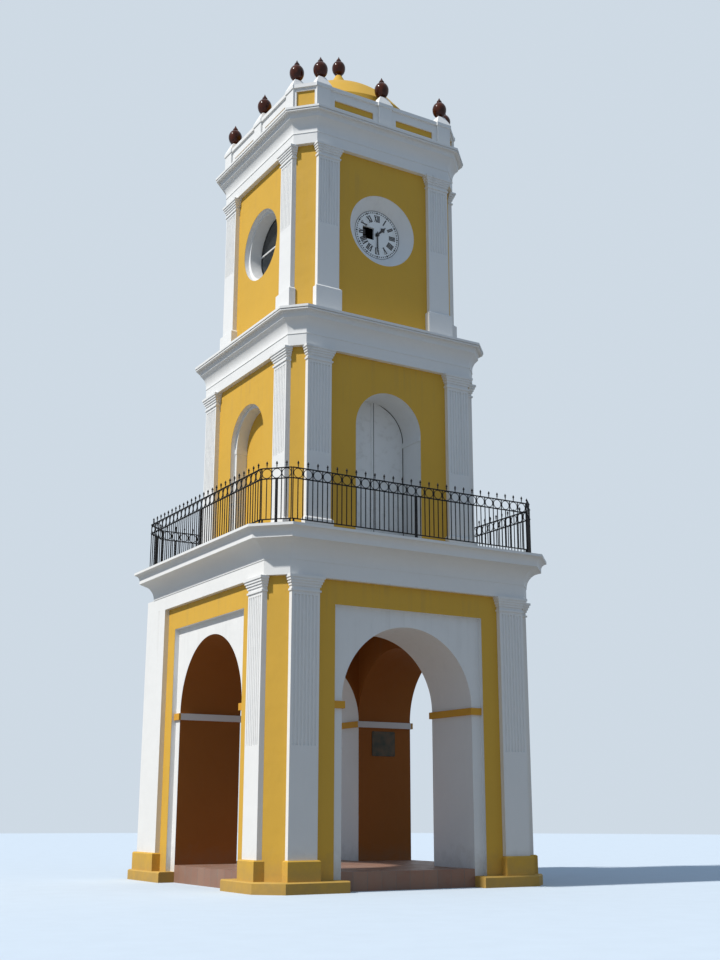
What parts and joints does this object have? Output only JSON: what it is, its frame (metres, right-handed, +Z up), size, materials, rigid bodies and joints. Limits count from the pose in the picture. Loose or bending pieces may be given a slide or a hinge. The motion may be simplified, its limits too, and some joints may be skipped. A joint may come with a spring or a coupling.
{
  "type": "clock tower",
  "caption": "Plastered masonry clock tower on open arches, stepped back by storey, with a railed balcony, a round dial with turning hands, and a low dome.",
  "frame": {"origin": "middle of the plan, on the ground under the plinths", "axes": "+Z up, the clock faces -Y, +X to the right of someone facing the clock"},
  "size_m": [6.84, 6.84, 18.715],
  "materials": {
    "yellow_plaster": "lime-washed plaster",
    "white_plaster": "painted plaster",
    "floor_tile": "matt",
    "iron_black": "satin paint",
    "painted_wood": "satin paint",
    "dial_enamel": "satin",
    "hand_metal": "satin",
    "glazed_ceramic": "glazed",
    "dark_glass": "polished"
  },
  "bodies": {
    "tower": {"arbor": "hand_metal", "arch_back": "white_plaster", "arch_front": "white_plaster", "arch_left": "white_plaster", "arch_right": "white_plaster", "architrave_1": "white_plaster", "architrave_2": "white_plaster", "architrave_3": "white_plaster", "corner_strip": "white_plaster", "cornice_1": "white_plaster", "cornice_2": "white_plaster", "cornice_3": "white_plaster", "dial": "dial_enamel", "dial_ring": "white_plaster", "dome": "yellow_plaster", "door_leaf_left": "painted_wood", "door_leaf_right": "painted_wood", "finials": "glazed_ceramic", "ground_floor": "floor_tile", "imposts": "yellow_plaster", "parapet_coping": "white_plaster", "parapet_wall": "white_plaster", "pedestals": "white_plaster", "piers": "yellow_plaster", "pilasters_1": "white_plaster", "pilasters_2": "white_plaster", "pilasters_3": "white_plaster", "plinths": "yellow_plaster", "railing_back": "iron_black", "railing_corners": "iron_black", "railing_front": "iron_black", "railing_left": "iron_black", "railing_right": "iron_black", "wall_2_back": "yellow_plaster", "wall_2_front": "yellow_plaster", "wall_2_left": "yellow_plaster", "wall_2_right": "yellow_plaster", "wall_3_back": "yellow_plaster", "wall_3_front": "yellow_plaster", "wall_3_left": "yellow_plaster", "wall_3_right": "yellow_plaster", "window_glass": "dark_glass", "window_sashes": "painted_wood"},
    "minute_hand": {"minute_hand": "hand_metal"},
    "hour_hand": {"hour_hand": "hand_metal"}
  },
  "joints": [
    {"name": "minute_turn", "type": "hinge", "parent": "tower", "child": "minute_hand", "pos_m": [0, -1.7, 13.35], "axis": [0, 1, 0], "continuous": true},
    {"name": "hour_turn", "type": "hinge", "parent": "tower", "child": "hour_hand", "pos_m": [0, -1.7, 13.35], "axis": [0, 1, 0], "continuous": true}
  ],
  "couplings": [
    {"joint": "hour_turn", "follows": "minute_turn", "ratio": 0.083333}
  ]
}
